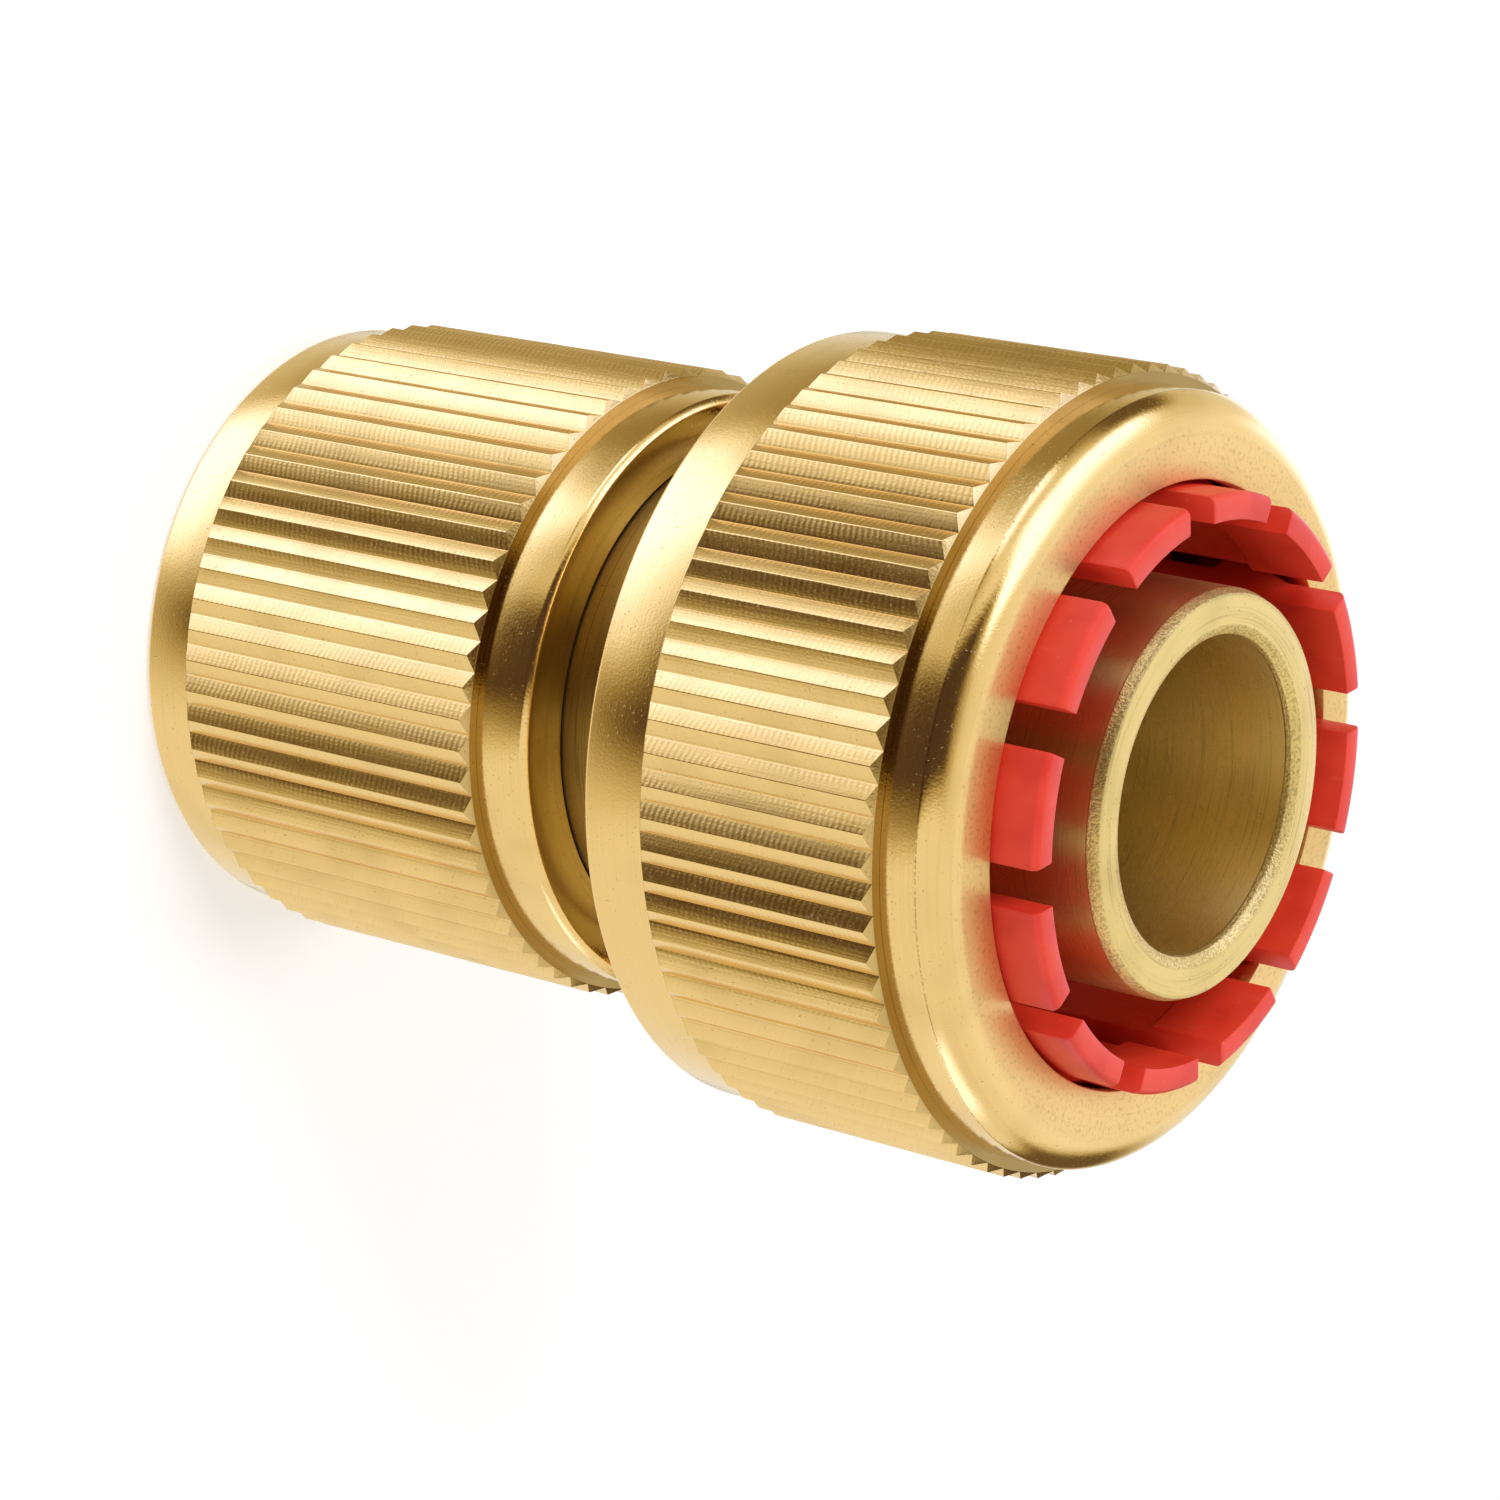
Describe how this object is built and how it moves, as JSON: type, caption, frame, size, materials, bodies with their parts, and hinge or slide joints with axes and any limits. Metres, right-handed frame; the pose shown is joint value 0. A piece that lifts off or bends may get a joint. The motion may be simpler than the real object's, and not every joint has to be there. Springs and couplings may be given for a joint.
{
  "type": "hose quick connector",
  "caption": "Brass click connector for a garden hose: sliding knurled release sleeve, ball lock, knurled clamp nut and slotted collet round a plain stem.",
  "frame": {"origin": "centre of the sleeve's rim, on which the connector stands", "axes": "+Z along the connector's axis, from the socket mouth to the hose end; +X through the first ball"},
  "size_m": [0.0388, 0.0388, 0.0534],
  "materials": {
    "body_brass": "turned, bright",
    "sleeve_brass": "turned and knurled, bright",
    "nut_brass": "turned and knurled, bright",
    "collet_plastic": "moulded, satin",
    "spring_steel": "drawn wire",
    "ring_steel": "drawn flat wire",
    "ball_steel": "polished"
  },
  "bodies": {
    "socket": {"socket_body": "body_brass", "return_spring": "spring_steel"},
    "snap_ring": {"retaining_ring": "ring_steel"},
    "sleeve": {"release_sleeve": "sleeve_brass"},
    "collet": {"hose_collet": "collet_plastic"},
    "nut": {"clamp_nut": "nut_brass"},
    "ball_1": {"locking_ball_1": "ball_steel"},
    "ball_2": {"locking_ball_2": "ball_steel"},
    "ball_3": {"locking_ball_3": "ball_steel"},
    "ball_4": {"locking_ball_4": "ball_steel"},
    "ball_5": {"locking_ball_5": "ball_steel"},
    "ball_6": {"locking_ball_6": "ball_steel"}
  },
  "joints": [
    {"name": "sleeve_turn", "type": "hinge", "parent": "socket", "child": "snap_ring", "pos_m": [0, 0, 0.002], "axis": [0, 0, 1], "continuous": true},
    {"name": "sleeve_slide", "type": "slide", "parent": "snap_ring", "child": "sleeve", "axis": [0, 0, 1], "range_m": [0, 0.0055], "stiffness_N_per_m": 880, "springref_m": -0.0084, "deforming": ["return_spring"]},
    {"name": "nut_turn", "type": "hinge", "parent": "socket", "child": "collet", "pos_m": [0, 0, 0.041], "axis": [0, 0, 1], "range_deg": [0, 900]},
    {"name": "nut_advance", "type": "slide", "parent": "collet", "child": "nut", "axis": [0, 0, 1], "range_m": [0, 0.0051]},
    {"name": "ball_1_lift", "type": "slide", "parent": "socket", "child": "ball_1", "axis": [1, 0, 0], "range_m": [0, 0.00075]},
    {"name": "ball_2_lift", "type": "slide", "parent": "socket", "child": "ball_2", "axis": [0.5, 0.866, 0], "range_m": [0, 0.00075]},
    {"name": "ball_3_lift", "type": "slide", "parent": "socket", "child": "ball_3", "axis": [-0.5, 0.866, 0], "range_m": [0, 0.00075]},
    {"name": "ball_4_lift", "type": "slide", "parent": "socket", "child": "ball_4", "axis": [-1, 0, 0], "range_m": [0, 0.00075]},
    {"name": "ball_5_lift", "type": "slide", "parent": "socket", "child": "ball_5", "axis": [-0.5, -0.866, 0], "range_m": [0, 0.00075]},
    {"name": "ball_6_lift", "type": "slide", "parent": "socket", "child": "ball_6", "axis": [0.5, -0.866, 0], "range_m": [0, 0.00075]}
  ],
  "couplings": [
    {"joint": "nut_advance", "follows": "nut_turn", "m_per_rad": 0.0003183},
    {"joint": "ball_1_lift", "follows": "sleeve_slide", "ratio": 0.1363},
    {"joint": "ball_2_lift", "follows": "sleeve_slide", "ratio": 0.1363},
    {"joint": "ball_3_lift", "follows": "sleeve_slide", "ratio": 0.1363},
    {"joint": "ball_4_lift", "follows": "sleeve_slide", "ratio": 0.1363},
    {"joint": "ball_5_lift", "follows": "sleeve_slide", "ratio": 0.1363},
    {"joint": "ball_6_lift", "follows": "sleeve_slide", "ratio": 0.1363}
  ]
}
